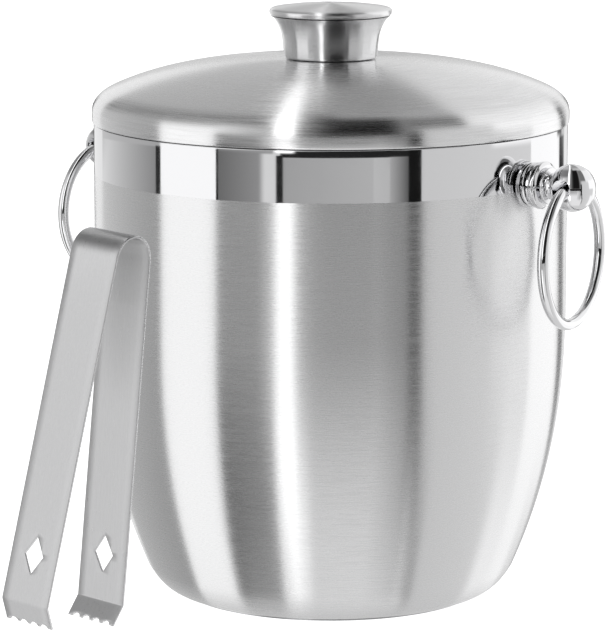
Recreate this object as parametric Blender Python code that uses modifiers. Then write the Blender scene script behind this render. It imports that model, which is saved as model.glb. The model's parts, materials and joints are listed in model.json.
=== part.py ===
"""Double-wall steel ice bucket with a lift-off lid, two swinging ring handles, a false-bottom strainer
and a pair of bow-spring tongs that lean on the wall.

Metres, +Z up. The origin is the middle of the bucket's base, on the surface it stands on.
The two handles lie along +X and -X.
"""

import math

import bmesh
import bpy
from mathutils import Matrix, Vector

GAP = 0.0003  # between faces that touch
SHEET = 0.0008  # steel sheet of the walls
SHELL_STEPS = 48
INNER_STEPS = 40
KNOB_STEPS = 32
POST_STEPS = 24
SMALL_STEPS = 16

# Bucket body
BODY_RADIUS = 0.096
TAPER_TOP = 0.120  # the wall is a plain cylinder above this height
TAPER_IN = 0.0262
TAPER_POWER = 2.27
FOOT_RADIUS = 0.062
FOOT_FILLET_TOP = 0.012
FOOT_FILLET_RADIUS = 0.0692
FOOT_FLANGE_RADIUS = 0.050
SEAM_HEIGHT = 0.1934  # where the lid meets the rim
BASE_RADIUS = 0.0615

# Liner
LINER_RADIUS = 0.087
LINER_FLOOR = 0.013
LINER_TAPER_TOP = 0.115
LINER_TAPER_IN = 0.022
LINER_TAPER_POWER = 2.2
LINER_FILLET = 0.005
RIM_RADIUS = 0.0959

# Strainer
STRAINER_HEIGHT = 0.0228
STRAINER_RADIUS = 0.0712
STRAINER_FOOT_RADIUS = 0.0640
STRAINER_HOLE = 0.0025
STRAINER_FINGER_HOLE = 0.008
STRAINER_RINGS = ((0.024, 6), (0.041, 10), (0.057, 14))

# Lid
DOME_RISE = 0.02465
LID_RADIUS = 0.0967
LID_WIDEST = 0.0041  # height of the widest point over the seam
LID_DOME_RADIUS = 0.089
LID_CURL_RADIUS = 0.0915
PAN_RADIUS = 0.0852
PAN_DEPTH = 0.010
PAN_FLANGE_RADIUS = 0.0949
SEAL_HEIGHT = 0.0032

# Knob, heights over its own base
KNOB_BASE = 0.2186
KNOB_OUTLINE = (
    (0.0182, 0.0003), (0.0189, 0.0012), (0.0191, 0.0040), (0.0196, 0.0088),
    (0.0207, 0.0126), (0.0227, 0.0161), (0.0241, 0.0173),
)
KNOB_WALL = 0.0012
KNOB_CAP_RADIUS = 0.0248
KNOB_TOP = 0.0223
BOSS_RADIUS = 0.0050
BOSS_HEIGHT = 0.0090
KNOB_WASHER_RADIUS = 0.0080

# Screws
SCREW_RADIUS = 0.0020
SCREW_HOLE = 0.0024
SCREW_HEAD_RADIUS = 0.0042
SCREW_HEAD_HEIGHT = 0.0024

# Handles, distances out from the bucket's axis
HANDLE_HEIGHT = 0.1746
BALL_OUT = 0.1148
BALL_RADIUS = 0.0094
BALL_HOLE = 0.0041
ROSETTE_OUT = 0.0979
ROSETTE_RADIUS = 0.0088
ROSETTE_NECK = 0.0066
ROSETTE_BACK = 0.0940  # reaches into the wall before the saddle is cut
POST_BACK = 0.0982
POST_SCREW_DEPTH = 0.0085
POST_OUTLINE = (
    (0.0052, 0.1070), (0.0052, 0.1058), (0.0071, 0.1054), (0.0074, 0.1048), (0.0071, 0.1042),
    (0.0053, 0.1038), (0.0060, 0.1034), (0.0084, 0.1031), (0.0094, 0.1023), (0.0094, 0.1007),
    (0.0080, 0.0999), (0.0088, 0.0994), (0.0090, 0.0988), (0.0086, 0.0982),
)
WASHER_RADIUS = 0.0060
WASHER_INSIDE = 0.0936
WASHER_OUTSIDE = 0.0980  # reaches into the wall before the washer is cut to it
RING_RADIUS = 0.0272
RING_WIRE = 0.0023
RING_DROP = 0.0007  # the wire's middle over the hinge axis, so that it clears the hole's ends
RING_YAW = {"right": math.radians(7.5), "left": math.radians(-5.5)}

# Tongs, in a frame whose Z runs up the tongs and whose X points away from the bucket
STRIP_WIDTH = 0.0242
STRIP_THICKNESS = 0.0010
HALF_STRIP = STRIP_THICKNESS / 2
BOW_RADIUS = 0.0097
ARM_SPREAD = math.radians(5.2)
ARM_LENGTH = 0.1386
TIP_TURN = math.radians(33.5)
TIP_LENGTH = 0.0093
DIAMOND = (0.0095, 0.0150)
DIAMOND_OVER_BEND = 0.0189
TOOTH_GAPS = 4
TOOTH_PITCH = 0.0053
TOOTH_GAP_RADIUS = 0.0021
TOOTH_GAP_PAST = 0.0006  # how far the middle of a gap lies past the edge
TONGS_FOOT = 0.0004  # height of the lowest tooth over the surface
TONGS_PLACE = (-0.0329, -0.1033)
TONGS_TURN = math.radians(-93.9)
TONGS_LEAN_BACK = math.radians(9.05)
TONGS_LEAN_SIDE = math.radians(2.95)

STEEL = (0.62, 0.62, 0.63)
PALETTE = {
    "brushed": (STEEL, 0.32, 1.0),
    "polished": ((0.75, 0.75, 0.76), 0.08, 1.0),
    "satin": ((0.55, 0.55, 0.56), 0.38, 1.0),
    "hidden": ((0.45, 0.45, 0.46), 0.45, 1.0),
    "seal": ((0.55, 0.56, 0.58), 0.6, 0.0),
}


def clear_scene():
    for thing in list(bpy.data.objects):
        bpy.data.objects.remove(thing)


def new_collection(name):
    collection = bpy.data.collections.new(name)
    bpy.context.scene.collection.children.link(collection)
    return collection


def add_object(name, mesh, collection, parent=None):
    thing = bpy.data.objects.new(name, mesh)
    collection.objects.link(thing)
    thing.parent = parent
    return thing


def add_empty(name, location=(0, 0, 0), rotation=(0, 0, 0), parent=None):
    thing = add_object(name, None, PARTS, parent)
    thing.empty_display_size = 0.01
    thing.location = location
    thing.rotation_euler = rotation
    return thing


def give_finish(thing, finish):
    colour, roughness, metallic = PALETTE[finish]
    material = bpy.data.materials.new(thing.name)
    material.use_nodes = True
    shader = material.node_tree.nodes["Principled BSDF"]
    shader.inputs["Base Color"].default_value = (*colour, 1.0)
    shader.inputs["Roughness"].default_value = roughness
    shader.inputs["Metallic"].default_value = metallic
    thing.data.materials.append(material)
    if not any(modifier.type == "SCREW" for modifier in thing.modifiers):
        thing.data.shade_smooth()
        thing.data.set_sharp_from_angle(angle=math.radians(35))


def as_cutter(thing):
    thing.hide_render = True
    thing.display_type = "WIRE"
    return thing


def boolean(thing, other, operation="DIFFERENCE"):
    modifier = thing.modifiers.new(operation.lower() + "_" + other.name, "BOOLEAN")
    modifier.operation = operation
    modifier.object = other
    modifier.solver = "EXACT"


def turned(name, outline, closed, steps, collection, parent=None):
    """A shape turned about local Z. The outline holds (radius, height) points, down its outer side."""
    mesh = bpy.data.meshes.new(name)
    points = [(radius, 0, height) for radius, height in outline]
    edges = [(index, index + 1) for index in range(len(points) - 1)]
    if closed:
        edges.append((len(points) - 1, 0))
    mesh.from_pydata(points, edges, [])
    thing = add_object(name, mesh, collection, parent)
    screw = thing.modifiers.new("turn", "SCREW")
    screw.axis = "Z"
    screw.steps = steps
    screw.render_steps = steps
    screw.use_merge_vertices = True
    screw.merge_threshold = 0.00001
    screw.use_smooth_shade = True
    return thing


def sheet_metal(thing, thickness=SHEET):
    solidify = thing.modifiers.new("sheet", "SOLIDIFY")
    solidify.thickness = thickness
    solidify.offset = -1
    solidify.use_even_offset = True


def cylinder(name, radius, length, collection, parent=None, sides=SMALL_STEPS, matrix=None):
    """A cylinder along local Z, centred on its origin."""
    mesh = bpy.data.meshes.new(name)
    shape = bmesh.new()
    bmesh.ops.create_cone(shape, cap_ends=True, segments=sides, radius1=radius, radius2=radius, depth=length)
    if matrix is not None:
        bmesh.ops.transform(shape, matrix=matrix, verts=shape.verts)
    shape.to_mesh(mesh)
    shape.free()
    return add_object(name, mesh, collection, parent)


def bezier(start, middle, end, count):
    """Points along a quadratic curve, without its first one."""
    points = []
    for step in range(1, count + 1):
        t = step / count
        points.append(tuple(
            (1 - t) ** 2 * a + 2 * t * (1 - t) * b + t ** 2 * c for a, b, c in zip(start, middle, end)
        ))
    return points


def wall_radius(height):
    if height >= TAPER_TOP:
        return BODY_RADIUS
    return BODY_RADIUS - TAPER_IN * ((TAPER_TOP - height) / TAPER_TOP) ** TAPER_POWER


def liner_radius(height):
    if height >= LINER_TAPER_TOP:
        return LINER_RADIUS
    return LINER_RADIUS - LINER_TAPER_IN * ((LINER_TAPER_TOP - height) / LINER_TAPER_TOP) ** LINER_TAPER_POWER


def dome_height(radius):
    """Height of the lid's outer face over the seam."""
    return DOME_RISE + 0.05 * radius - 1.124 * radius ** 2 - 106.6 * radius ** 4


def make_outer_shell():
    bottom = SHEET + GAP
    outline = [(BODY_RADIUS, SEAM_HEIGHT - 0.0015), (BODY_RADIUS, TAPER_TOP)]
    outline += [(wall_radius(height / 1000), height / 1000) for height in (98, 74, 54, 38, 24)]
    outline.append((wall_radius(FOOT_FILLET_TOP), FOOT_FILLET_TOP))
    outline += bezier(outline[-1], (FOOT_FILLET_RADIUS, bottom), (FOOT_RADIUS, bottom), 3)
    outline.append((FOOT_FLANGE_RADIUS, bottom))
    shell = turned("outer_shell", outline, False, SHELL_STEPS, PARTS)
    sheet_metal(shell)
    drill = cylinder("cut_screw_holes", SCREW_HOLE, 2.2 * BODY_RADIUS, CUTTERS)
    drill.rotation_euler = (0, math.pi / 2, 0)
    drill.location = (0, 0, HANDLE_HEIGHT)
    boolean(shell, as_cutter(drill))
    give_finish(shell, "brushed")


def make_inner_liner():
    flange = SEAM_HEIGHT - 0.0004 - SHEET
    under = LINER_FLOOR - SHEET
    outline = [(RIM_RADIUS, flange), (LINER_RADIUS + SHEET, flange)]
    heights = (115, 88, 64, 43)
    outline += [(liner_radius(height / 1000) + SHEET, height / 1000) for height in heights]
    fillet_top = LINER_FLOOR + LINER_FILLET
    outline.append((liner_radius(fillet_top) + SHEET, fillet_top))
    corner = liner_radius(LINER_FLOOR) + SHEET
    outline += bezier(outline[-1], (corner, under), (corner - LINER_FILLET, under), 3)
    outline.append((0, under))
    liner = turned("inner_liner", outline, False, INNER_STEPS, PARTS)
    sheet_metal(liner)
    give_finish(liner, "satin")


def make_base_plate():
    edge = 0.0002
    outline = [
        (0, SHEET), (BASE_RADIUS - edge, SHEET), (BASE_RADIUS, SHEET - edge),
        (BASE_RADIUS, edge), (BASE_RADIUS - edge, 0), (0, 0),
    ]
    give_finish(turned("base_plate", outline, False, INNER_STEPS, PARTS), "satin")


def make_strainer():
    under = STRAINER_HEIGHT - SHEET
    outline = [
        (0, STRAINER_HEIGHT), (STRAINER_RADIUS - 0.0030, STRAINER_HEIGHT), (STRAINER_RADIUS - 0.0008, under),
        (STRAINER_RADIUS - 0.0002, under - 0.0022), (STRAINER_FOOT_RADIUS, LINER_FLOOR + GAP),
    ]
    strainer = turned("ice_strainer", outline, False, INNER_STEPS, PARTS)
    sheet_metal(strainer)
    holes = bmesh.new()
    middle = Matrix.Translation((0, 0, STRAINER_HEIGHT))
    bmesh.ops.create_cone(
        holes, cap_ends=True, segments=SMALL_STEPS, radius1=STRAINER_FINGER_HOLE,
        radius2=STRAINER_FINGER_HOLE, depth=0.006, matrix=middle,
    )
    for ring, (radius, count) in enumerate(STRAINER_RINGS):
        for index in range(count):
            angle = math.tau * (index + ring / 3) / count
            place = Matrix.Translation((radius * math.cos(angle), radius * math.sin(angle), STRAINER_HEIGHT))
            bmesh.ops.create_cone(
                holes, cap_ends=True, segments=8, radius1=STRAINER_HOLE, radius2=STRAINER_HOLE,
                depth=0.006, matrix=place,
            )
    mesh = bpy.data.meshes.new("cut_strainer_holes")
    holes.to_mesh(mesh)
    holes.free()
    boolean(strainer, as_cutter(add_object("cut_strainer_holes", mesh, CUTTERS)))
    give_finish(strainer, "satin")


def make_lid():
    lid = add_empty("lid_frame", (0, 0, SEAM_HEIGHT))
    rest = -0.0001  # the curl's underside, just over the liner's rim
    outline = [(radius / 1000, dome_height(radius / 1000)) for radius in (2.4, 24, 46, 68)]
    outline.append((LID_DOME_RADIUS, dome_height(LID_DOME_RADIUS)))
    outline += bezier(outline[-1], (LID_RADIUS, 0.0100), (LID_RADIUS, LID_WIDEST), 4)
    outline += [(LID_RADIUS - 0.0001, rest + 0.0004), (LID_RADIUS - 0.0005, rest), (LID_CURL_RADIUS, rest)]
    shell = turned("lid_shell", outline, False, SHELL_STEPS, PARTS, lid)
    sheet_metal(shell)
    give_finish(shell, "brushed")

    flange = rest + SHEET + GAP
    outline = [
        (PAN_FLANGE_RADIUS, flange), (PAN_RADIUS + 0.0006, flange), (PAN_RADIUS, flange - 0.0006),
        (PAN_RADIUS, 0.0012 - PAN_DEPTH), (PAN_RADIUS - 0.0014, -PAN_DEPTH), (0, -PAN_DEPTH),
    ]
    pan = turned("lid_inner_pan", outline, False, INNER_STEPS, PARTS, lid)
    sheet_metal(pan)
    give_finish(pan, "satin")

    inside = PAN_RADIUS + GAP
    middle = -PAN_DEPTH / 2
    half = SEAL_HEIGHT / 2
    outline = [
        (inside, middle + half), (inside + 0.0005, middle + half), (inside + 0.0010, middle + half / 2),
        (inside + 0.0005, middle), (inside + 0.0010, middle - half / 2), (inside + 0.0005, middle - half),
        (inside, middle - half),
    ]
    give_finish(turned("lid_seal", outline, True, INNER_STEPS, PARTS, lid), "seal")


def make_knob():
    knob = add_empty("knob_frame", (0, 0, KNOB_BASE))
    inner_wall = [(radius - KNOB_WALL, height) for radius, height in KNOB_OUTLINE[2:]]
    outline = list(reversed(KNOB_OUTLINE))
    outline += [
        (SCREW_RADIUS + GAP, 0.0003), (SCREW_RADIUS + GAP, BOSS_HEIGHT), (BOSS_RADIUS, BOSS_HEIGHT),
        (BOSS_RADIUS, 0.0018), (KNOB_OUTLINE[1][0] - KNOB_WALL, 0.0018),
    ]
    outline += inner_wall
    give_finish(turned("knob_body", outline, True, KNOB_STEPS, PARTS, knob), "brushed")

    lip = KNOB_OUTLINE[-1][1] + GAP
    outline = [
        (0, KNOB_TOP), (0.0085, KNOB_TOP - 0.0002), (0.0165, KNOB_TOP - 0.0008), (0.0228, KNOB_TOP - 0.0016),
    ]
    corner = (KNOB_CAP_RADIUS, KNOB_TOP - 0.0018)
    outline += bezier(outline[-1], corner, (KNOB_CAP_RADIUS, KNOB_TOP - 0.0034), 3)
    outline += [
        (KNOB_CAP_RADIUS - 0.0006, lip), (0.0220, lip), (0.0214, lip + 0.0012), (0, lip + 0.0018),
    ]
    give_finish(turned("knob_cap", outline, False, KNOB_STEPS, PARTS, knob), "brushed")

    under_lid = SEAM_HEIGHT + DOME_RISE - SHEET - KNOB_BASE
    washer_top = under_lid - GAP
    outline = [
        (KNOB_WASHER_RADIUS, washer_top), (KNOB_WASHER_RADIUS, washer_top - SHEET),
        (SCREW_HOLE, washer_top - SHEET), (SCREW_HOLE, washer_top),
    ]
    give_finish(turned("knob_washer", outline, True, SMALL_STEPS, PARTS, knob), "hidden")
    make_screw("knob_screw", washer_top - SHEET - GAP, 0.0075, knob)


def make_screw(name, head_top, shank_top, parent):
    """A pan-head screw along local Z, its head below head_top."""
    head_bottom = head_top - SCREW_HEAD_HEIGHT
    outline = [
        (0, shank_top), (SCREW_RADIUS - 0.0004, shank_top), (SCREW_RADIUS, shank_top - 0.0004),
        (SCREW_RADIUS, head_top), (SCREW_HEAD_RADIUS, head_top), (SCREW_HEAD_RADIUS, head_bottom + 0.0008),
        (SCREW_HEAD_RADIUS - 0.0010, head_bottom), (0, head_bottom),
    ]
    screw = turned(name, outline, False, SMALL_STEPS, PARTS, parent)
    give_finish(screw, "hidden")
    return screw


def make_handle(side, turn):
    """One ring handle. Its post stands along local Z of a frame that lies along the bucket's radius."""
    place = add_empty(side + "_handle_frame", (0, 0, HANDLE_HEIGHT), (0, math.pi / 2, turn))

    outline = [
        (SCREW_HOLE, ROSETTE_OUT), (ROSETTE_NECK, ROSETTE_OUT),
        (ROSETTE_RADIUS - 0.0006, ROSETTE_OUT - 0.0003),
        (ROSETTE_RADIUS, ROSETTE_OUT - 0.0009), (ROSETTE_RADIUS, ROSETTE_OUT - 0.0014),
        (ROSETTE_RADIUS - 0.0006, ROSETTE_OUT - 0.0019), (ROSETTE_RADIUS - 0.0006, ROSETTE_BACK),
        (SCREW_HOLE, ROSETTE_BACK),
    ]
    rosette = turned(side + "_handle_rosette", outline, True, POST_STEPS, PARTS, place)
    saddle = cylinder("cut_" + side + "_saddle", BODY_RADIUS + GAP, 0.04, CUTTERS, sides=128)
    saddle.location = (0, 0, HANDLE_HEIGHT)
    boolean(rosette, as_cutter(saddle))
    give_finish(rosette, "polished")

    outline = []
    for step in range(0, 10):
        angle = math.radians(90 - step * 16)
        outline.append((BALL_RADIUS * math.cos(angle), BALL_OUT + BALL_RADIUS * math.sin(angle)))
    outline[0] = (0, BALL_OUT + BALL_RADIUS)
    outline += POST_OUTLINE
    outline += [
        (SCREW_RADIUS + GAP, POST_BACK), (SCREW_RADIUS + GAP, POST_BACK + POST_SCREW_DEPTH),
        (0, POST_BACK + POST_SCREW_DEPTH),
    ]
    post = turned(side + "_handle_post", outline, False, POST_STEPS, PARTS, place)
    hole = cylinder("cut_" + side + "_ball_hole", BALL_HOLE, 0.03, CUTTERS, place)
    hole.location = (0, 0, BALL_OUT)
    hole.rotation_euler = (math.pi / 2, 0, 0)
    boolean(post, as_cutter(hole))
    give_finish(post, "polished")

    outline = [
        (WASHER_RADIUS, WASHER_OUTSIDE), (WASHER_RADIUS, WASHER_INSIDE), (SCREW_HOLE, WASHER_INSIDE),
        (SCREW_HOLE, WASHER_OUTSIDE),
    ]
    washer = turned(side + "_handle_washer", outline, True, SMALL_STEPS, PARTS, place)
    inside = cylinder("cut_" + side + "_washer", BODY_RADIUS - SHEET - GAP, 0.04, CUTTERS, sides=128)
    inside.location = (0, 0, HANDLE_HEIGHT)
    boolean(washer, as_cutter(inside), "INTERSECT")
    give_finish(washer, "hidden")
    make_screw(side + "_handle_screw", WASHER_INSIDE - GAP, POST_BACK + POST_SCREW_DEPTH - 0.0005, place)

    bpy.ops.mesh.primitive_torus_add(
        major_radius=RING_RADIUS, minor_radius=RING_WIRE, major_segments=36, minor_segments=10,
    )
    ring = bpy.context.object
    for collection in list(ring.users_collection):
        collection.objects.unlink(ring)
    PARTS.objects.link(ring)
    ring.name = side + "_handle_ring"
    ring.data.name = ring.name
    hang = Matrix.Translation((0, 0, RING_DROP - RING_RADIUS)) @ Matrix.Rotation(math.pi / 2, 4, "Y")
    ring.data.transform(Matrix.Rotation(RING_YAW[side], 4, "Z") @ hang)
    ring.location = (BALL_OUT * math.cos(turn), BALL_OUT * math.sin(turn), HANDLE_HEIGHT)
    ring.rotation_euler = (0, 0, turn)
    give_finish(ring, "polished")


def arm_line():
    """The middle of one arm's strip, from the crown of the bow to the tip, as (x, z) points."""
    points = []
    first = math.pi / 2 - 0.5 * GAP / BOW_RADIUS
    for step in range(9):
        angle = first + (ARM_SPREAD - first) * step / 8
        points.append(Vector((BOW_RADIUS * math.cos(angle), BOW_RADIUS * math.sin(angle))))
    bend = points[-1] + ARM_LENGTH * Vector((math.sin(ARM_SPREAD), -math.cos(ARM_SPREAD)))
    inward = TIP_TURN - ARM_SPREAD
    tip = bend + TIP_LENGTH * Vector((-math.sin(inward), -math.cos(inward)))
    return points + [bend, tip]


def beside(line, distance):
    """The line moved sideways, with mitred corners."""
    moved = []
    for index, point in enumerate(line):
        before = line[max(index - 1, 0)]
        after = line[min(index + 1, len(line) - 1)]
        normals = []
        for start, end in ((before, point), (point, after)):
            if start != end:
                run = (end - start).normalized()
                normals.append(Vector((-run.y, run.x)))
        middle = sum(normals, Vector((0, 0))).normalized()
        moved.append(point + middle * distance / middle.dot(normals[0]))
    return moved


def make_arm(name, turn, tongs):
    """One arm of the tongs: a bent strip with a diamond window and a toothed, turned-in tip."""
    place = add_empty(name + "_frame", (0, 0, 0), (0, 0, turn), tongs)
    line = arm_line()
    outline = beside(line, STRIP_THICKNESS / 2) + list(reversed(beside(line, -STRIP_THICKNESS / 2)))
    shape = bmesh.new()
    corners = [shape.verts.new((point.x, -STRIP_WIDTH / 2, point.y)) for point in outline]
    face = shape.faces.new(corners)
    pushed = bmesh.ops.extrude_face_region(shape, geom=[face])["geom"]
    moved = [item for item in pushed if isinstance(item, bmesh.types.BMVert)]
    bmesh.ops.translate(shape, vec=(0, STRIP_WIDTH, 0), verts=moved)
    bmesh.ops.recalc_face_normals(shape, faces=shape.faces)
    mesh = bpy.data.meshes.new(name)
    shape.to_mesh(mesh)
    shape.free()
    arm = add_object(name, mesh, PARTS, place)

    bend, tip = line[-2], line[-1]
    up = (line[-3] - bend).normalized()
    middle = bend + up * DIAMOND_OVER_BEND
    across = Matrix(((0, up.x, up.y), (1, 0, 0), (0, up.y, -up.x))).to_4x4()
    window = Matrix.Translation((middle.x, 0, middle.y)) @ across @ Matrix.Diagonal(
        (DIAMOND[0] / 2, DIAMOND[1] / 2, 0.006, 1)
    )
    diamond = cylinder("cut_" + name + "_diamond", 1, 1, CUTTERS, place, 4, window)
    boolean(arm, as_cutter(diamond))

    up = (bend - tip).normalized()
    across = Matrix(((0, up.x, up.y), (1, 0, 0), (0, up.y, -up.x))).to_4x4()
    gaps = bmesh.new()
    middle = tip - up * TOOTH_GAP_PAST
    for index in range(TOOTH_GAPS):
        side = (index - (TOOTH_GAPS - 1) / 2) * TOOTH_PITCH
        spot = Matrix.Translation((middle.x, side, middle.y)) @ across
        bmesh.ops.create_cone(
            gaps, cap_ends=True, segments=14, radius1=TOOTH_GAP_RADIUS, radius2=TOOTH_GAP_RADIUS,
            depth=0.006, matrix=spot,
        )
    mesh = bpy.data.meshes.new("cut_" + name + "_teeth")
    gaps.to_mesh(mesh)
    gaps.free()
    boolean(arm, as_cutter(add_object("cut_" + name + "_teeth", mesh, CUTTERS, place)))
    give_finish(arm, "satin")


def make_tongs():
    """The tongs lean on the wall: their frame is at the middle of the bow, on the squeezing axis."""
    lean = Matrix.Rotation(TONGS_TURN, 4, "Z") @ Matrix.Rotation(-TONGS_LEAN_BACK, 4, "Y")
    lean = lean @ Matrix.Rotation(-TONGS_LEAN_SIDE, 4, "X")
    tip = arm_line()[-1]
    half = STRIP_WIDTH / 2
    corners = []
    for across in (-half, half):
        for inward in (0, HALF_STRIP):
            corners.append(lean @ Vector((-tip.x - inward, across, tip.y)))
    height = TONGS_FOOT - min(corner.z for corner in corners)
    tongs = add_empty("tongs_frame", (*TONGS_PLACE, height), lean.to_euler())
    make_arm("tongs_front_arm", 0, tongs)
    make_arm("tongs_rear_arm", math.pi, tongs)


clear_scene()
PARTS = new_collection("ice_bucket")
CUTTERS = new_collection("ice_bucket_cutters")
make_outer_shell()
make_inner_liner()
make_base_plate()
make_strainer()
make_lid()
make_knob()
make_handle("right", 0.0)
make_handle("left", math.pi)
make_tongs()
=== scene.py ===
import json
import math

import bmesh
import bpy
import numpy as np
from mathutils import Matrix, Vector


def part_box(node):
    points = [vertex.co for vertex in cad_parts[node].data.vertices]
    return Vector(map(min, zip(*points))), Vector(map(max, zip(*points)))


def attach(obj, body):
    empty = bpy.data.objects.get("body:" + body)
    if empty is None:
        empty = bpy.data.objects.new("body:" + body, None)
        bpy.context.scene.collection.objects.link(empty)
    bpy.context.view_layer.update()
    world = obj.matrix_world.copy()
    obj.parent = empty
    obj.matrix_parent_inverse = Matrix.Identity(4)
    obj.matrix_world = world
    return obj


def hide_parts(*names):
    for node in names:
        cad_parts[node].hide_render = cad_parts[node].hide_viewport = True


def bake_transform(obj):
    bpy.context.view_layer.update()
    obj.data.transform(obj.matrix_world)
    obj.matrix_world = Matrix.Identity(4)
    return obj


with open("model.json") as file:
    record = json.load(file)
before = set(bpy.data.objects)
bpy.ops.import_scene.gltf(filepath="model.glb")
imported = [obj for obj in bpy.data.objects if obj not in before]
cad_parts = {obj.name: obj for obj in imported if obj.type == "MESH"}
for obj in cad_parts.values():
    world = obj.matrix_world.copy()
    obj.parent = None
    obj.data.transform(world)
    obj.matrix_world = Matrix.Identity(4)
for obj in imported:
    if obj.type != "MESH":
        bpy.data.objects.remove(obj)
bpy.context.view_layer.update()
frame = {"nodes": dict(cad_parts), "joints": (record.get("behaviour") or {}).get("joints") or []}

MM = 0.001
FULL_TURN = 2 * math.pi

# Sizes that the frame gives
JOINTS = {joint["name"]: joint for joint in frame["joints"]}
BODY_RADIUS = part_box("outer_shell")[1][0]
RIM_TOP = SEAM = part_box("lid_shell")[0][2]
LID_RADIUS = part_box("lid_shell")[1][0]
KNOB_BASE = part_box("knob_body")[0][2]
KNOB_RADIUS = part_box("knob_cap")[1][0]
FOOT_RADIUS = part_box("base_plate")[1][0]
BALL_OUT = JOINTS["right_ring_swing"]["pos_m"][0]
HANDLE_HEIGHT = JOINTS["right_ring_swing"]["pos_m"][2]
SHEET = 0.8 * MM
CLEAR = 0.3 * MM
SHARP_ANGLE = 32  # degrees: a sharper edge than this is not shaded smooth


# ---------------------------------------------------------------- shapes

def rounded(corners, steps=5):
    """The corners (radius, height[, rounding]) of a closed outline, with each rounding made an arc."""
    points = []
    for index, corner in enumerate(corners):
        here = Vector(corner[:2])
        size = corner[2] if len(corner) > 2 else 0
        if not size:
            points.append(tuple(here))
            continue
        before = (Vector(corners[index - 1][:2]) - here).normalized()
        after = (Vector(corners[(index + 1) % len(corners)][:2]) - here).normalized()
        half = before.angle(after) / 2
        middle = here + (before + after).normalized() * size / math.sin(half)
        spoke = here + before * size / math.tan(half) - middle
        turn = spoke.angle_signed(here + after * size / math.tan(half) - middle)
        for step in range(steps + 1):
            points.append(tuple(middle + Matrix.Rotation(-turn * step / steps, 2) @ spoke))
    return points


def beside(line, distance):
    """The line moved sideways by a distance, with mitred corners."""
    line = [Vector(point) for point in line]
    moved = []
    for index, point in enumerate(line):
        runs = []
        if index:
            runs.append((point - line[index - 1]).normalized())
        if index < len(line) - 1:
            runs.append((line[index + 1] - point).normalized())
        normals = [Vector((-run.y, run.x)) for run in runs]
        middle = sum(normals, Vector((0, 0))).normalized()
        moved.append(tuple(point + middle * distance / middle.dot(normals[0])))
    return moved


def sheet_outline(line, thickness=SHEET):
    """A closed outline: the line, and its copy moved in by the sheet's thickness."""
    return line + beside(line, -thickness)[::-1]


def bezier(start, middle, end, count):
    """Points along a curve from start, which is left out, to end. It leaves and arrives towards middle."""
    points = []
    for step in range(1, count + 1):
        t = step / count
        pulls = ((1 - t) ** 2, 2 * t * (1 - t), t * t)
        corners = zip(start, middle, end)
        points.append(tuple(pulls[0] * a + pulls[1] * b + pulls[2] * c for a, b, c in corners))
    return points


def revolve(name, outline, steps=192, sharp=SHARP_ANGLE):
    """A closed outline of (radius, height) points turned about Z, with its poles welded."""
    mesh = bpy.data.meshes.new(name)
    shape = bmesh.new()
    rings = []
    for radius, height in outline:
        if radius < 1e-6:
            rings.append([shape.verts.new((0, 0, height))])
            continue
        ring = []
        for step in range(steps):
            angle = FULL_TURN * step / steps
            ring.append(shape.verts.new((radius * math.cos(angle), radius * math.sin(angle), height)))
        rings.append(ring)
    for index, ring in enumerate(rings):
        follow = rings[(index + 1) % len(rings)]
        if len(ring) == 1 and len(follow) == 1:
            continue
        for step in range(steps):
            corners = []
            for vert in (ring[step % len(ring)], ring[(step + 1) % len(ring)],
                         follow[(step + 1) % len(follow)], follow[step % len(follow)]):
                if vert not in corners:
                    corners.append(vert)
            shape.faces.new(corners)
    bmesh.ops.recalc_face_normals(shape, faces=shape.faces)
    shape.to_mesh(mesh)
    shape.free()
    mesh.shade_smooth()
    mesh.set_sharp_from_angle(angle=math.radians(sharp))
    piece = bpy.data.objects.new(name, mesh)
    bpy.context.scene.collection.objects.link(piece)
    return piece


def finish_piece(piece, material, body, slot, *nodes):
    """Gives the piece its material and body, and hides the frame's nodes that it stands for; slot is not used.
    """
    piece.data.materials.append(material)
    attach(piece, body)
    if nodes:
        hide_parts(*nodes)
    return piece


# ---------------------------------------------------------------- materials

def new_material(name, colour, roughness, metallic=1.0):
    material = bpy.data.materials.new(name)
    material.use_nodes = True
    shader = material.node_tree.nodes["Principled BSDF"]
    shader.inputs["Base Color"].default_value = (*colour, 1)
    shader.inputs["Roughness"].default_value = roughness
    shader.inputs["Metallic"].default_value = metallic
    return material, material.node_tree, shader


def math_node(tree, operation, first, second=None):
    node = tree.nodes.new("ShaderNodeMath")
    node.operation = operation
    for socket, value in zip(node.inputs, (first, second)):
        if value is None:
            continue
        if isinstance(value, (int, float)):
            socket.default_value = value
        else:
            tree.links.new(value, socket)
    return node.outputs[0]


def product(tree, first, second):
    return math_node(tree, "MULTIPLY", first, second)


def total(tree, first, second):
    return math_node(tree, "ADD", first, second)


def spread(tree, value, low, high, out_low, out_high):
    """The value moved from the range low to high into out_low to out_high, and kept inside it."""
    node = tree.nodes.new("ShaderNodeMapRange")
    node.inputs["From Min"].default_value = low
    node.inputs["From Max"].default_value = high
    node.inputs["To Min"].default_value = out_low
    node.inputs["To Max"].default_value = out_high
    tree.links.new(value, node.inputs["Value"])
    return node.outputs["Result"]


def noise(tree, vector, detail=2.0, roughness=0.6):
    node = tree.nodes.new("ShaderNodeTexNoise")
    node.inputs["Scale"].default_value = 1.0
    node.inputs["Detail"].default_value = detail
    node.inputs["Roughness"].default_value = roughness
    tree.links.new(vector, node.inputs["Vector"])
    return node.outputs["Fac"]


def object_coordinates(tree):
    return tree.nodes.new("ShaderNodeTexCoord").outputs["Object"]


def stretched(tree, vector, scale):
    node = tree.nodes.new("ShaderNodeMapping")
    node.inputs["Scale"].default_value = scale
    tree.links.new(vector, node.inputs["Vector"])
    return node.outputs["Vector"]


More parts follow.
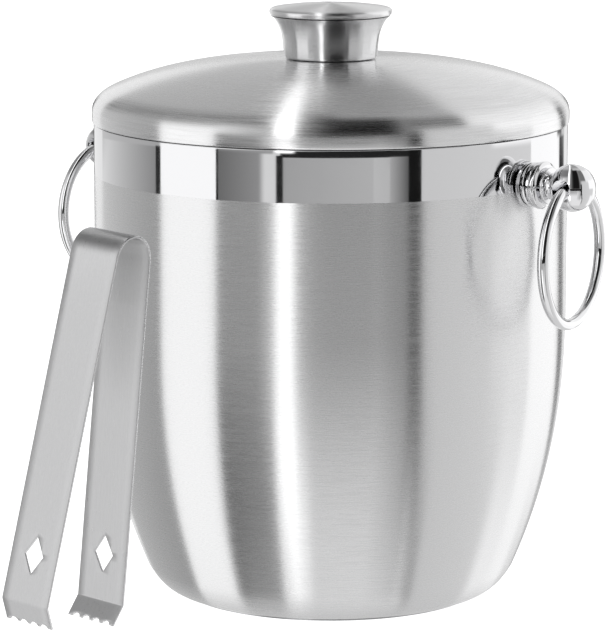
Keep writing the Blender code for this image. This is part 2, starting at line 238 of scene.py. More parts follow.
def ring_coordinates(tree, along, across):
    """Grain coordinates round Z on a dome or a disc: (x, y) on the unit circle, and radius minus height."""
    parts = tree.nodes.new("ShaderNodeSeparateXYZ")
    tree.links.new(object_coordinates(tree), parts.inputs[0])
    x, y, z = parts.outputs
    radius = math_node(tree, "SQRT", total(tree, product(tree, x, x), product(tree, y, y)))
    safe = math_node(tree, "MAXIMUM", radius, 0.0005)
    joined = tree.nodes.new("ShaderNodeCombineXYZ")
    tree.links.new(product(tree, math_node(tree, "DIVIDE", x, safe), along), joined.inputs[0])
    tree.links.new(product(tree, math_node(tree, "DIVIDE", y, safe), along), joined.inputs[1])
    path = math_node(tree, "SUBTRACT", radius, z)
    tree.links.new(product(tree, path, across), joined.inputs[2])
    return joined.outputs[0]


def brushed_steel(name, colour, roughness, anisotropy, coordinates, tangent=("RADIAL", "Z"), rotation=0.25,
                  shade=0.05, rough_spread=0.05, bump=0.05, occlusion=None):
    """Brushed steel: long thin streaks shift its colour and roughness a little and groove it.

    coordinates holds one function for the fine streaks and one for the coarse ones.
    """
    material, tree, shader = new_material(name, colour, roughness)
    shader.inputs["Anisotropic"].default_value = anisotropy
    shader.inputs["Anisotropic Rotation"].default_value = rotation
    direction = tree.nodes.new("ShaderNodeTangent")
    direction.direction_type = tangent[0]
    direction.axis = tangent[1]
    tree.links.new(direction.outputs[0], shader.inputs["Tangent"])
    fine = noise(tree, coordinates[0](tree), 3.0, 0.7)
    coarse = noise(tree, coordinates[1](tree), 2.0, 0.5)
    grain = total(tree, product(tree, fine, 0.65), product(tree, coarse, 0.35))
    tint = tree.nodes.new("ShaderNodeMix")
    tint.data_type = "RGBA"
    tint.inputs[6].default_value = (*[c * (1 - shade) for c in colour], 1)
    tint.inputs[7].default_value = (*[min(1, c * (1 + shade)) for c in colour], 1)
    tree.links.new(spread(tree, grain, 0.3, 0.7, 0, 1), tint.inputs[0])
    surface = tint.outputs[2]
    if occlusion:
        scaled = tree.nodes.new("ShaderNodeVectorMath")
        scaled.operation = "SCALE"
        tree.links.new(surface, scaled.inputs[0])
        tree.links.new(occlusion(tree), scaled.inputs["Scale"])
        surface = scaled.outputs[0]
    tree.links.new(surface, shader.inputs["Base Color"])
    streaked = spread(tree, grain, 0.3, 0.7, roughness - rough_spread, roughness + rough_spread)
    tree.links.new(streaked, shader.inputs["Roughness"])
    groove = tree.nodes.new("ShaderNodeBump")
    groove.inputs["Strength"].default_value = bump
    groove.inputs["Distance"].default_value = 0.0002
    tree.links.new(grain, groove.inputs["Height"])
    tree.links.new(groove.outputs[0], shader.inputs["Normal"])
    return material


def around(along, across):
    """Streaks that run round an upright wall."""
    return lambda tree: stretched(tree, object_coordinates(tree), (along, along, across))


def around_flat(along, across):
    """Streaks that run round a dome or a disc."""
    return lambda tree: ring_coordinates(tree, along, across)


def crook_shade(tree):
    """Darker where the strip faces itself, which its mirror image would do if it showed in reflections."""
    crook = tree.nodes.new("ShaderNodeAmbientOcclusion")
    crook.samples = 8
    crook.only_local = True
    crook.inputs["Distance"].default_value = 0.03
    return spread(tree, crook.outputs["AO"], 0.15, 0.9, 0.25, 1.0)


def polished_steel(name, colour, roughness):
    """Mirror steel with the faintest cloud of wear in its gloss."""
    material, tree, shader = new_material(name, colour, roughness)
    cloud = noise(tree, stretched(tree, object_coordinates(tree), (90, 90, 90)), 3.0)
    tree.links.new(spread(tree, cloud, 0.3, 0.7, roughness * 0.6, roughness * 1.4), shader.inputs["Roughness"])
    return material


def silicone(name):
    material, tree, shader = new_material(name, (0.42, 0.43, 0.45), 0.55, 0.0)
    cloud = noise(tree, stretched(tree, object_coordinates(tree), (900, 900, 900)), 2.0)
    tree.links.new(spread(tree, cloud, 0.3, 0.7, 0.48, 0.62), shader.inputs["Roughness"])
    bump = tree.nodes.new("ShaderNodeBump")
    bump.inputs["Strength"].default_value = 0.15
    bump.inputs["Distance"].default_value = 0.0002
    tree.links.new(cloud, bump.inputs["Height"])
    tree.links.new(bump.outputs[0], shader.inputs["Normal"])
    return material


STEEL = (0.80, 0.80, 0.805)
BRUSHED_WALL = brushed_steel(
    "brushed_wall_steel", STEEL, 0.27, 1.0, (around(170, 3600), around(60, 1500)), shade=0.04, bump=0.05)
BRUSHED_DOME = brushed_steel(
    "brushed_dome_steel", STEEL, 0.25, 0.94, (around_flat(5, 2600), around_flat(2, 700)),
    shade=0.14, rough_spread=0.08)
BRUSHED_KNOB = brushed_steel(
    "brushed_knob_steel", STEEL, 0.21, 1.0, (around(160, 3600), around(60, 1400)), bump=0.08)
BRUSHED_DISC = brushed_steel(
    "brushed_disc_steel", STEEL, 0.32, 0.80, (around_flat(4, 3000), around_flat(2, 900)))
SATIN_STEEL = brushed_steel(
    "satin_liner_steel", (0.56, 0.56, 0.57), 0.38, 0.5, (around_flat(6, 2600), around_flat(3, 700)))
MIRROR_STEEL = polished_steel("mirror_band_steel", (0.78, 0.78, 0.79), 0.05)
CHROME = polished_steel("polished_fitting_steel", (0.82, 0.82, 0.83), 0.04)
SEAL_RUBBER = silicone("seal_silicone")
PLAIN_STEEL = brushed_steel(
    "machined_screw_steel", (0.5, 0.5, 0.51), 0.4, 0.3, (around_flat(6, 3000), around_flat(3, 900)))


# ---------------------------------------------------------------- bucket

TAPER_TOP = 120 * MM
BAND_HEIGHT = 20.7 * MM
BAND_BOTTOM = SEAM - BAND_HEIGHT


def wall_radius(height):
    if height >= TAPER_TOP:
        return BODY_RADIUS
    return BODY_RADIUS - 26.2 * MM * ((TAPER_TOP - height) / TAPER_TOP) ** 2.27


def liner_radius(height):
    top = 115 * MM
    if height >= top:
        return 87 * MM
    return 87 * MM - 22 * MM * ((top - height) / top) ** 2.2


def make_wall():
    """The outer wall: a mirror band that rolls over into the rim, and the brushed wall below it."""
    bottom = SHEET + CLEAR
    line = [(BODY_RADIUS, BAND_BOTTOM), (BODY_RADIUS, 146 * MM)]
    line += [(wall_radius(height * MM), height * MM) for height in range(120, 12, -3)]
    line.append((wall_radius(12 * MM), 12 * MM))
    line += bezier(line[-1], (69.2 * MM, bottom), (62 * MM, bottom), 10)
    line.append((50 * MM, bottom))
    wall = revolve("brushed_wall", sheet_outline(line), 256)
    finish_piece(wall, BRUSHED_WALL, "bucket", "brushed_shell", "outer_shell")

    top = RIM_TOP - CLEAR
    band = revolve("mirror_band", rounded([
        (BODY_RADIUS, top, 0.5 * MM), (BODY_RADIUS, top - 3.2 * MM),
        (BODY_RADIUS, BAND_BOTTOM + 0.01 * MM), (BODY_RADIUS - SHEET, BAND_BOTTOM + 0.01 * MM),
        (BODY_RADIUS - SHEET, top),
    ]), 256)
    finish_piece(band, MIRROR_STEEL, "bucket", "polished_fittings")


def make_liner():
    top = RIM_TOP - CLEAR - SHEET
    under = 12.2 * MM
    outside = [(liner_radius(height * MM) + SHEET, height * MM) for height in range(115, 18, -4)]
    corner = liner_radius(13 * MM) + SHEET
    line = [(BODY_RADIUS - SHEET - 0.05 * MM, top), (89.3 * MM, top)]
    line += bezier(line[-1], (87.8 * MM, top), (87.8 * MM, top - 1.5 * MM), 5)
    line += outside + [(liner_radius(18 * MM) + SHEET, 18 * MM)]
    line += bezier(line[-1], (corner, under), (corner - 5 * MM, under), 8)
    line.append((0, under))
    inner = beside(line, -SHEET)
    inner[-1] = (0, under + SHEET)
    liner = revolve("well_liner", line + inner[::-1], 160)
    finish_piece(liner, SATIN_STEEL, "bucket", "satin_liner", "inner_liner")


def make_foot():
    foot = revolve("foot_disc", rounded([
        (0, SHEET), (FOOT_RADIUS, SHEET, 0.25 * MM), (FOOT_RADIUS, 0, 0.25 * MM), (0, 0),
    ]), 160)
    finish_piece(foot, SATIN_STEEL, "bucket", "satin_liner", "base_plate")


def make_strainer():
    """The perforated false bottom, with a finger hole in its middle."""
    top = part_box("ice_strainer")[1][2]
    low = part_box("ice_strainer")[0][2]
    line = [(0, top), (66 * MM, top)]
    line += bezier(line[-1], (71 * MM, top), (71 * MM, top - 3 * MM), 6)
    line.append((64 * MM, low))
    inner = beside(line, -SHEET)
    inner[0] = (0, top - SHEET)
    strainer = revolve("strainer_plate", line + inner[::-1], 128)
    cutter = bmesh.new()
    bmesh.ops.create_cone(cutter, cap_ends=True, segments=48, radius1=8 * MM, radius2=8 * MM, depth=6 * MM,
                          matrix=Matrix.Translation((0, 0, top)))
    for ring, (radius, count) in enumerate(((24, 6), (41, 10), (57, 14))):
        for index in range(count):
            angle = FULL_TURN * (index + ring / 3) / count
            place = Matrix.Translation((radius * MM * math.cos(angle), radius * MM * math.sin(angle), top))
            bmesh.ops.create_cone(cutter, cap_ends=True, segments=24, radius1=2.5 * MM, radius2=2.5 * MM,
                                  depth=6 * MM, matrix=place)
    mesh = bpy.data.meshes.new("strainer_cutter")
    cutter.to_mesh(mesh)
    cutter.free()
    tool = bpy.data.objects.new("strainer_cutter", mesh)
    bpy.context.scene.collection.objects.link(tool)
    apply_boolean(strainer, tool)
    finish_piece(strainer, SATIN_STEEL, "strainer", "satin_liner", "ice_strainer")


def apply_boolean(piece, tool):
    """Cuts the piece with the tool, for good, and removes the tool."""
    modifier = piece.modifiers.new("cut", "BOOLEAN")
    modifier.operation = "DIFFERENCE"
    modifier.object = tool
    modifier.solver = "EXACT"
    bpy.context.view_layer.update()
    graph = bpy.context.evaluated_depsgraph_get()
    mesh = bpy.data.meshes.new_from_object(piece.evaluated_get(graph))
    piece.modifiers.clear()
    mesh.name = piece.data.name
    piece.data = mesh
    mesh.set_sharp_from_angle(angle=math.radians(SHARP_ANGLE))
    bpy.data.objects.remove(tool)


# ---------------------------------------------------------------- lid

def dome_height(radius):
    return SEAM + 0.1 * MM + 24.65 * MM + 0.05 * radius - 1.124 * radius ** 2 - 106.6 * radius ** 4


def make_lid():
    seam = SEAM
    line = [(2.4 * MM, dome_height(2.4 * MM))]
    line += [(radius * MM, dome_height(radius * MM)) for radius in range(6, 90, 3)]
    line.append((89 * MM, dome_height(89 * MM)))
    line += bezier(line[-1], (LID_RADIUS, seam + 10 * MM), (LID_RADIUS, seam + 4.2 * MM), 14)
    line += [(LID_RADIUS - 0.02 * MM, seam + 2.2 * MM), (LID_RADIUS - 0.08 * MM, seam + 0.7 * MM)]
    line += bezier(line[-1], (LID_RADIUS - 0.1 * MM, seam), (LID_RADIUS - 0.8 * MM, seam), 4)
    line.append((91.5 * MM, seam))
    lid = revolve("lid_dome", sheet_outline(line), 256)
    finish_piece(lid, BRUSHED_DOME, "lid", "brushed_shell", "lid_shell")

    low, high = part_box("lid_inner_pan")
    flange = high[2] - SHEET
    line = [(high[0], flange), (86.8 * MM, flange)]
    line += bezier(line[-1], (85.2 * MM, flange), (85.2 * MM, flange - 1.6 * MM), 5)
    line.append((85.2 * MM, low[2] + 2.5 * MM))
    line += bezier(line[-1], (85.2 * MM, low[2]), (82.7 * MM, low[2]), 6)
    line.append((0, low[2]))
    inner = beside(line, -SHEET)
    inner[-1] = (0, low[2] + SHEET)
    pan = revolve("lid_underside", line + inner[::-1], 160)
    finish_piece(pan, SATIN_STEEL, "lid", "satin_liner", "lid_inner_pan")

    low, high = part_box("lid_seal")
    middle = (low[2] + high[2]) / 2
    inside, outside = 85.5 * MM, high[0]
    seal = revolve("lid_seal_ring", rounded([
        (inside, high[2]),
        (outside - 0.5 * MM, high[2], 0.1 * MM), (outside, (middle + high[2]) / 2, 0.3 * MM),
        (outside - 0.5 * MM, middle, 0.1 * MM), (outside, (middle + low[2]) / 2, 0.3 * MM),
        (outside - 0.5 * MM, low[2], 0.1 * MM), (inside, low[2]),
    ], 3), 160)
    finish_piece(seal, SEAL_RUBBER, "lid", "silicone_seal", "lid_seal")


KNOB_OUTLINE = (
    # radius and height above the lid, down the flared side, in mm
    (24.1, 17.3), (22.7, 16.1), (21.7, 14.5), (20.9, 12.9),
    (20.2, 11.0), (19.7, 8.9), (19.4, 6.5), (19.2, 4.0),
)


def make_knob():
    base = KNOB_BASE
    outer = [(radius * MM, base + (height - 0.3) * MM) for radius, height in KNOB_OUTLINE]
    outer += [(19.0 * MM, base + 1.2 * MM)]
    outer += bezier(outer[-1], (18.9 * MM, base), (18.0 * MM, base), 5)
    inner = [(2.3 * MM, base), (2.3 * MM, base + 8.7 * MM), (5 * MM, base + 8.7 * MM),
             (5 * MM, base + 1.5 * MM), (17.7 * MM, base + 1.5 * MM)]
    inner += [(radius - 1.2 * MM, height) for radius, height in outer[7::-1]]
    neck = revolve("knob_neck", outer + inner, 128)
    finish_piece(neck, BRUSHED_KNOB, "lid", "brushed_shell", "knob_body")

    low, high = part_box("knob_cap")
    crown = ((0, 0), (6, 0.1), (12, 0.42), (18, 0.98), (22.6, 1.6))
    line = [(radius * MM, high[2] - drop * MM) for radius, drop in crown]
    line += bezier(line[-1], (KNOB_RADIUS, high[2] - 1.75 * MM), (KNOB_RADIUS, high[2] - 3.2 * MM), 6)
    line += bezier(line[-1], (KNOB_RADIUS, low[2]), (KNOB_RADIUS - 1.0 * MM, low[2]), 4)
    line += [(22 * MM, low[2]), (21.4 * MM, low[2] + 1.2 * MM), (0, low[2] + 1.8 * MM)]
    cap = revolve("knob_disc", line, 128, 22)
    finish_piece(cap, BRUSHED_DISC, "lid", "brushed_shell", "knob_cap")


# ---------------------------------------------------------------- handles

POST_LINE = (
    # radius, distance out from the bucket's axis, rounding, in mm
    (5.2, 107.6), (5.2, 105.6, 0.2), (7.3, 105.2, 0.3), (7.3, 104.2, 0.3), (5.2, 103.8, 0.1),
    (5.4, 103.4, 0.1), (8.2, 103.2, 0.3), (9.4, 102.4, 0.6), (9.4, 100.5, 0.5), (8.0, 99.9, 0.2),
    (9.0, 99.2, 0.5), (9.0, 98.2, 0.3),
)

RING_YAW = {"right": 7.5, "left": -5.5}  # degrees that each ring hangs turned in its loose hole


def make_handle(side, turn):
    """The bead on the wall, the turned post with its drilled ball, and the ring that hangs in it."""
    around_bucket = Matrix.Rotation(turn, 4, "Z")
    lying = Matrix.Rotation(math.pi / 2, 4, "Y")
    out = around_bucket @ Matrix.Translation((0, 0, HANDLE_HEIGHT)) @ lying
    radius = 9.4 * MM
    line = []
    for step in range(0, 37):
        angle = math.radians(90 - step * 4.05)
        line.append((max(0, radius * math.cos(angle)), BALL_OUT + radius * math.sin(angle)))
    line[0] = (0, BALL_OUT + radius)
    corners = [tuple(value * MM for value in corner) for corner in POST_LINE]
    line += rounded(corners, 4)
    line += [(2.3 * MM, 98.2 * MM), (2.3 * MM, 106.7 * MM), (0, 106.7 * MM)]
    post = revolve(side + "_post", line, 96)
    drill = revolve("drill", rounded([
        (0, 15 * MM), (4.1 * MM, 15 * MM), (4.1 * MM, -15 * MM), (0, -15 * MM),
    ]), 64)
    drill.data.transform(Matrix.Translation((0, 0, BALL_OUT)) @ Matrix.Rotation(math.pi / 2, 4, "X"))
    apply_boolean(post, drill)
    post.matrix_world = out
    finish_piece(post, CHROME, "bucket", "polished_fittings", side + "_handle_post")

    bead = revolve(side + "_wall_bead", rounded([
        (2.4 * MM, 97.9 * MM), (8.4 * MM, 97.9 * MM, 0.3 * MM), (8.8 * MM, 97.2 * MM, 0.4 * MM),
        (8.2 * MM, 96.0 * MM, 0.5 * MM), (8.2 * MM, 94.2 * MM), (2.4 * MM, 94.2 * MM),
    ], 4), 96)
    reach = BODY_RADIUS + CLEAR
    saddle = revolve("saddle", [(0, 120 * MM), (reach, 120 * MM), (reach, -120 * MM), (0, -120 * MM)], 512)
    saddle.data.transform(Matrix.Rotation(math.pi / 2, 4, "Y"))
    apply_boolean(bead, saddle)
    bead.matrix_world = out
    finish_piece(bead, CHROME, "bucket", "polished_fittings", side + "_handle_rosette")

    low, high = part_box(side + "_handle_ring")
    wire = 2.3 * MM
    ring_radius = (high[2] - low[2]) / 2 - wire
    yaw = math.radians(RING_YAW[side])
    outline = []
    for step in range(20):
        angle = FULL_TURN * step / 20
        outline.append((ring_radius + wire * math.cos(angle), -wire * math.sin(angle)))
    ring = revolve(side + "_ring", outline, 160)
    middle = Vector((BALL_OUT, 0, (low[2] + high[2]) / 2))
    ring.matrix_world = around_bucket @ Matrix.Translation(middle) @ Matrix.Rotation(yaw, 4, "Z") @ lying
    finish_piece(ring, CHROME, side + "_ring", "polished_fittings", side + "_handle_ring")


# ---------------------------------------------------------------- tongs

STRIP_WIDTH = 24.2 * MM
STRIP_THICKNESS = 1.0 * MM
BOW_RADIUS = 9.7 * MM
ARM_SPREAD = math.radians(5.2)
ARM_LENGTH = 138.6 * MM
TIP_TURN = math.radians(33.5)
TIP_LENGTH = 9.3 * MM
TIP_BEND_RADIUS = 1.6 * MM
BOW_STEPS = 24
STRAIGHT_STEPS = 70
TIP_STEPS = 8
STRIP_COLUMNS = 7


def tongs_frame():
    """The place of the tongs: origin in the middle of the bow, X away from the bucket, Z up the tongs."""
    joint = JOINTS["tongs_squeeze"]
    place = Matrix.Rotation(math.radians(-93.9), 4, "Z") @ Matrix.Rotation(math.radians(-9.05), 4, "Y")
    place = place @ Matrix.Rotation(math.radians(-2.95), 4, "X")
    place.translation = Vector(joint["pos_m"])
    return place


def half_line():
    """(length, x, z, angle) along one arm's middle line from the crown.

    The angle is that of the strip's outer normal above the horizontal: a quarter turn at the crown.
    """
    points = []
    for step in range(BOW_STEPS + 1):
        angle = math.pi / 2 + (ARM_SPREAD - math.pi / 2) * step / BOW_STEPS
        x, z = BOW_RADIUS * math.cos(angle), BOW_RADIUS * math.sin(angle)
        points.append((BOW_RADIUS * (math.pi / 2 - angle), x, z, angle))
    reach = points[-1][0]
    run = Vector((math.sin(ARM_SPREAD), -math.cos(ARM_SPREAD)))
    start = Vector(points[-1][1:3])
    cut = TIP_BEND_RADIUS * math.tan(TIP_TURN / 2)
    straight = ARM_LENGTH - cut
    for step in range(1, STRAIGHT_STEPS + 1):
        spot = start + run * straight * step / STRAIGHT_STEPS
        points.append((reach + straight * step / STRAIGHT_STEPS, spot.x, spot.y, ARM_SPREAD))
    reach += straight
    for step in range(1, TIP_STEPS + 1):
        turn = TIP_TURN * step / TIP_STEPS
        heading = ARM_SPREAD - turn
        last = Vector(points[-1][1:3])
        half = heading + TIP_TURN / (2 * TIP_STEPS)
        spot = last + Vector((math.sin(half), -math.cos(half))) * TIP_BEND_RADIUS * TIP_TURN / TIP_STEPS
        points.append((reach + TIP_BEND_RADIUS * turn, spot.x, spot.y, heading))
    reach = points[-1][0]
    heading = ARM_SPREAD - TIP_TURN
    start = Vector(points[-1][1:3])
    for step in range(1, TIP_STEPS + 1):
        length = (TIP_LENGTH - cut) * step / TIP_STEPS
        spot = start + Vector((math.sin(heading), -math.cos(heading))) * length
        points.append((reach + length, spot.x, spot.y, heading))
    return points


def tongs_cutter(half):
    """The diamond window and the gaps between the teeth of both arms, for the strip while it is flat."""
    length = half[-1][0]
    bend = half[BOW_STEPS + STRAIGHT_STEPS][0] + TIP_BEND_RADIUS * TIP_TURN / 2
    tool = bmesh.new()
    for sign in (-1, 1):
        spot = Matrix.Translation((sign * (bend - 18.9 * MM), 0, 0))
        spot = spot @ Matrix.Diagonal((7.5 * MM, 4.75 * MM, 6 * MM, 1))
        bmesh.ops.create_cone(tool, cap_ends=True, segments=4, radius1=1, radius2=1, depth=1, matrix=spot)
        for index in range(4):
            spot = Matrix.Translation((sign * (length + 0.6 * MM), (index - 1.5) * 5.3 * MM, 0))
            bmesh.ops.create_cone(tool, cap_ends=True, segments=36, radius1=2.1 * MM, radius2=2.1 * MM,
                                  depth=6 * MM, matrix=spot)
    mesh = bpy.data.meshes.new("tongs_cutter")
    tool.to_mesh(mesh)
    tool.free()
    cutter = bpy.data.objects.new("tongs_cutter", mesh)
    bpy.context.scene.collection.objects.link(cutter)
    return cutter


def flat_strip(half):
    """The whole strip laid flat along X, with a row of points for each point of the bent line."""
    lengths = [-point[0] for point in half[:0:-1]] + [point[0] for point in half]
    flat = bmesh.new()
    layers = []
    for height in (-STRIP_THICKNESS / 2, STRIP_THICKNESS / 2):
        grid = []
        for reach in lengths:
            across = [STRIP_WIDTH * (step / (STRIP_COLUMNS - 1) - 0.5) for step in range(STRIP_COLUMNS)]
            grid.append([flat.verts.new((reach, place, height)) for place in across])
        layers.append(grid)
    low, high = layers
    rows, columns = len(lengths), STRIP_COLUMNS
    for row in range(rows - 1):
        for column in range(columns - 1):
            follow, beyond = row + 1, column + 1
            flat.faces.new((high[row][column], high[follow][column], high[follow][beyond], high[row][beyond]))
            flat.faces.new((low[row][column], low[row][beyond], low[follow][beyond], low[follow][column]))
    for row in range(rows - 1):
        for column, order in ((0, 1), (columns - 1, -1)):
            corners = (low[row][column], low[row + 1][column], high[row + 1][column], high[row][column])
            flat.faces.new(corners[::order])
    for column in range(columns - 1):
        for row, order in ((0, -1), (rows - 1, 1)):
            corners = (low[row][column], low[row][column + 1], high[row][column + 1], high[row][column])
            flat.faces.new(corners[::order])
    bmesh.ops.recalc_face_normals(flat, faces=flat.faces)
    mesh = bpy.data.meshes.new("tongs_strip")
    flat.to_mesh(mesh)
    flat.free()
    strip = bpy.data.objects.new("tongs_strip", mesh)
    bpy.context.scene.collection.objects.link(strip)
    return strip


def make_tongs(material, edge_highlight_material):
    """One strip, cut flat and then bent: a diamond window and five teeth in each arm."""
    half = half_line()
    strip = flat_strip(half)
    apply_boolean(strip, tongs_cutter(half))

    shape = bmesh.new()
    shape.from_mesh(strip.data)
    bmesh.ops.remove_doubles(shape, verts=shape.verts, dist=1e-6)
    rim = [edge for edge in shape.edges if len(edge.link_faces) == 2 and edge.calc_face_angle() > 1.2
           and abs(edge.verts[0].co.z - edge.verts[1].co.z) < 1e-6]
    bmesh.ops.bevel(shape, geom=rim, offset=0.22 * MM, segments=2, profile=0.5, affect="EDGES")
    shape.normal_update()
    for face in shape.faces:
        # side faces take the second material: smoother edge steel whose lighter colour is a painted highlight
        face.material_index = int(abs(face.normal.z) < 0.6)
    place = tongs_frame()
    table = np.array(half)
    for vert in shape.verts:
        reach, across, height = vert.co
        side = 1 if reach >= 0 else -1
        x, z, heading = (np.interp(abs(reach), table[:, 0], table[:, column]) for column in (1, 2, 3))
        if abs(reach) <= table[BOW_STEPS, 0]:
            heading = math.pi / 2 - abs(reach) / BOW_RADIUS
            x, z = BOW_RADIUS * math.cos(heading), BOW_RADIUS * math.sin(heading)
        normal = (math.cos(heading), math.sin(heading))
        vert.co = place @ Vector((side * (x + normal[0] * height), across, z + normal[1] * height))
    bmesh.ops.recalc_face_normals(shape, faces=shape.faces)
    shape.to_mesh(strip.data)
    shape.free()
    strip.data.shade_smooth()
    strip.data.set_sharp_from_angle(angle=math.radians(50))
    strip.data.materials.append(material)
    strip.data.materials.append(edge_highlight_material)
    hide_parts("tongs_rear_arm", "tongs_front_arm")
    strip.visible_glossy = False  # the wall in the photo doesn't mirror the tongs
    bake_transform(strip)


# ---------------------------------------------------------------- studio

CAMERA_TURN = 35.2  # degrees round from the front, towards +X
CAMERA_DOWN = 9.696
CAMERA_AWAY = 1.6
CAMERA_LEFT = 0.0104
CAMERA_HEIGHT = 0.3845
CAMERA_LENS = 223.3
TWICE_DEGREES = 360 / math.pi

PANELS = (
    # Set to give the metal the bands that the photo shows. A panel is placed by the facing and the
    # tilt, both doubled, of a mirror that would show it to the photo's camera: facing from and to (0 is towards
    # that camera, + is to its right), tilt from and to (0 upright, 180 lying flat), softness of the sides and
    # of the ends, brightness at the left and at the right. A view that moves the camera leaves them in place.
    (-181, 181, -200, 200, 1, 1, 0.66, 0.66),
    # left
    (-181, -147, -200, 200, 0.8, 1, 0.92, 0.92),
    (-147, -30, 118, 200, 2, 40, 0.60, 0.52),
    (-147, -30, 68, 118, 3, 26, 0.33, 0.20),
    (-147, -91, -200, 64, 1, 22, 0.64, 0.44),
    (-147, -91, -70, -20, 1, 20, 0.52, 0.36),
    (-147, -91, -6, 8, 1, 3, 0.84, 0.28),
    (-93.6, -90, -5, 9, 0.8, 3, 0.03, 0.03),
    (-90.2, -56.3, -72, 50, 0.8, 18, 1.20, 1.20),
    (-56.3, -28, 16, 64, 0.8, 16, 1.00, 0.42),
    (-56.3, -28, -56, 14, 0.8, 14, 0.17, 0.37),
    (-56.3, -28, -56, -8, 0.8, 12, 0.09, 0.26),
    (-59.5, -50, -60, -32, 1.5, 14, 0.09, 0.12),
    (-57, -55.8, -60, 12, 0.3, 4, 0.02, 0.02),
    # over the camera
    (-18, 68, 124, 200, 4, 24, 0.36, 0.36),
    (-20, 2, 12, 124, 5, 14, 0.34, 0.16),
    (-7, 38, 10, 112, 22, 14, 0.01, 0.01),
    (38, 68, 48, 108, 1.5, 16, 0.19, 0.19),
    (-28, 38.4, -200, 4, 0.6, 1, 0.42, 0.58),
    (-28, 38.4, -200, -13, 0.6, 26, 0.92, 0.92),
    (30, 45, -200, -24, 0.8, 14, 0.92, 0.92),
    (20, 38.6, -40, -2, 0.4, 20, 0.84, 0.40),
    (-24.4, 38.4, 3.6, 13, 0.6, 0.6, 0.02, 0.02),
    (28, 38.6, 0, 4, 0.4, 2, 0.46, 0.06),
    # right
    (37.2, 43.8, -20, 34, 0.6, 12, 0.01, 0.01),
    (43.8, 112.8, -200, 46, 0.8, 14, 0.70, 0.80),
    (41.5, 46.2, -36, -12, 1, 12, 0.12, 0.12),
    (46, 50.5, -64, -30, 2, 14, 0.30, 0.30),
    (68, 181, 100, 200, 3, 20, 0.82, 0.86),
    (70, 147, 44, 104, 5, 16, 1.00, 1.10),
    (84, 147, 10, 50, 6, 12, 1.20, 1.20),
    (112.8, 147, -40, 50, 0.8, 14, 1.22, 1.22),
    (94, 132, -80, -22, 10, 14, 1.15, 1.15),
    (147, 157.5, -16, 12, 3, 8, 0.03, 0.03),
    (143, 151, 12, 78, 3, 12, 0.16, 0.16),
    (157.5, 181, -200, 200, 3, 1, 0.92, 0.92),
    # strip lights
    (-33.4, -25.2, -6, 8, 4.0, 3, 0.80, 0.80),
    (-26.4, -23.0, -4, 6, 1.0, 0.6, 0.02, 0.02),
    (-27, -17, -26, -6, 3, 3, 2.2, 2.2),
    (-22, -11.5, -50, -22, 4, 8, 1.6, 1.6),
    (-17, -4, -78, -46, 6, 12, 0.88, 0.88),
    (-26.5, -18, 10, 200, 3.5, 5, 2.4, 2.4),
    (-8.5, -2.5, 142, 200, 3, 16, 1.4, 1.4),
    # the far end, and the table top at the object's foot
    (-181, 181, 164, 200, 1, 10, 0.66, 0.66),
    (-181, 181, -200, -76, 1, 16, 0.72, 0.72),
    (-360, -172, -200, 90, 3, 24, 0.08, 0.08),
    (172, 360, -200, 90, 3, 24, 0.08, 0.08),
)


def make_camera():
    camera = bpy.data.cameras.new("camera")
    camera.lens = CAMERA_LENS
    camera.sensor_width = 36
    camera.clip_end = 50
    holder = bpy.data.objects.new("camera", camera)
    turn = math.radians(CAMERA_TURN)
    near, right = Vector((math.sin(turn), -math.cos(turn), 0)), Vector((math.cos(turn), math.sin(turn), 0))
    holder.location = near * CAMERA_AWAY - right * CAMERA_LEFT + Vector((0, 0, CAMERA_HEIGHT))
    holder.rotation_euler = (math.radians(90 - CAMERA_DOWN), 0, math.radians(CAMERA_TURN))
    bpy.context.scene.collection.objects.link(holder)
    bpy.context.scene.camera = holder


def window(tree, value, low, high, soft):
    """1 between low and high, 0 outside, with edges that are soft wide."""
    rise = tree.nodes.new("ShaderNodeMapRange")
    rise.interpolation_type = "SMOOTHSTEP"
    rise.inputs["From Min"].default_value = low - soft / 2
    rise.inputs["From Max"].default_value = low + soft / 2
    fall = tree.nodes.new("ShaderNodeMapRange")
    fall.interpolation_type = "SMOOTHSTEP"
    fall.inputs["From Min"].default_value = high - soft / 2
    fall.inputs["From Max"].default_value = high + soft / 2
    fall.inputs["To Min"].default_value = 1
    fall.inputs["To Max"].default_value = 0
    tree.links.new(value, rise.inputs["Value"])
    tree.links.new(value, fall.inputs["Value"])
    return product(tree, rise.outputs["Result"], fall.outputs["Result"])


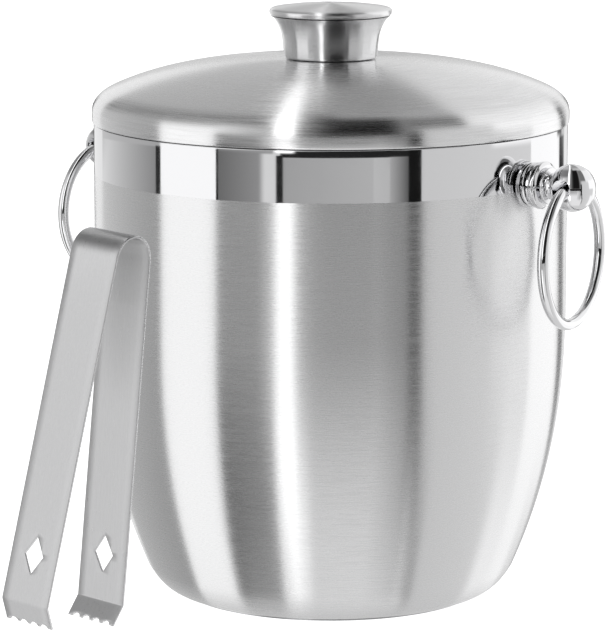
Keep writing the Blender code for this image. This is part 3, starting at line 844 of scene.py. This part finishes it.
def make_world():
    """Studio panels all round the object, painted over each other in the order of the list."""
    world = bpy.data.worlds.new("studio")
    world.use_nodes = True
    bpy.context.scene.world = world
    tree = world.node_tree
    parts = tree.nodes.new("ShaderNodeSeparateXYZ")
    tree.links.new(tree.nodes.new("ShaderNodeTexCoord").outputs["Generated"], parts.inputs[0])
    x, y, z = parts.outputs
    turn = math.radians(CAMERA_TURN)
    right = total(tree, product(tree, x, math.cos(turn)), product(tree, y, math.sin(turn)))
    near = math_node(tree, "SUBTRACT", product(tree, x, math.sin(turn)), product(tree, y, math.cos(turn)))
    down = math.radians(CAMERA_DOWN)
    towards = total(tree, near, math.cos(down))
    upwards = total(tree, z, math.sin(down))
    squares = total(tree, product(tree, towards, towards), product(tree, right, right))
    level_part = math_node(tree, "SQRT", squares)
    facing = product(tree, math_node(tree, "ARCTAN2", right, towards), TWICE_DEGREES)
    tilt = product(tree, math_node(tree, "ARCTAN2", upwards, level_part), TWICE_DEGREES)
    level = None
    for left, right_edge, low, high, side_soft, end_soft, left_level, right_level in PANELS:
        paint = spread(tree, facing, left, right_edge, left_level, right_level)
        if level is None:
            level = paint
            continue
        sides = window(tree, facing, left, right_edge, side_soft)
        ends = window(tree, tilt, low, high, end_soft)
        mix = tree.nodes.new("ShaderNodeMix")
        mix.data_type = "FLOAT"
        tree.links.new(product(tree, sides, ends), mix.inputs[0])
        tree.links.new(level, mix.inputs[2])
        tree.links.new(paint, mix.inputs[3])
        level = mix.outputs[0]
    background = tree.nodes["Background"]
    tree.links.new(level, background.inputs["Strength"])
    background.inputs["Color"].default_value = (1, 1, 1, 1)


def make_floor():
    """A plain floor that glows white, as the photo's background does, and that the metal doesn't mirror."""
    bpy.ops.mesh.primitive_plane_add(size=12)
    floor = bpy.context.object
    floor.name = "floor"
    floor.location = (0, 0, -0.0002)
    material, _, shader = new_material("floor_paint", (0.9, 0.9, 0.9), 0.8, 0)
    shader.inputs["Emission Color"].default_value = (1, 1, 1, 1)
    shader.inputs["Emission Strength"].default_value = 1.0
    floor.data.materials.append(material)
    floor.visible_glossy = False


make_wall()
make_liner()
make_foot()
make_strainer()
make_lid()
make_knob()
make_handle("right", 0)
make_handle("left", math.pi)
TONGS_STEEL = brushed_steel(
    "tongs_strip_steel", (0.58, 0.58, 0.585), 0.31, 0.5, (around(2600, 90), around(900, 40)),
    tangent=("RADIAL", "X"), shade=0.08, occlusion=crook_shade)
# The strip's cut edges: smoother steel, and a lighter colour than the faces that paints in the bright highlight
# along the edges.
TONGS_EDGE_HIGHLIGHT = polished_steel("tongs_edge_steel_and_painted_highlight", (0.92, 0.92, 0.925), 0.14)
make_tongs(TONGS_STEEL, TONGS_EDGE_HIGHLIGHT)
for place in ("knob", "right_handle", "left_handle"):
    for fastener in ("_screw", "_washer"):
        node = frame["nodes"][place + fastener]
        node.data.materials.clear()
        node.data.materials.append(PLAIN_STEEL)
make_floor()
make_world()
make_camera()
bpy.context.scene.view_settings.view_transform = "Standard"
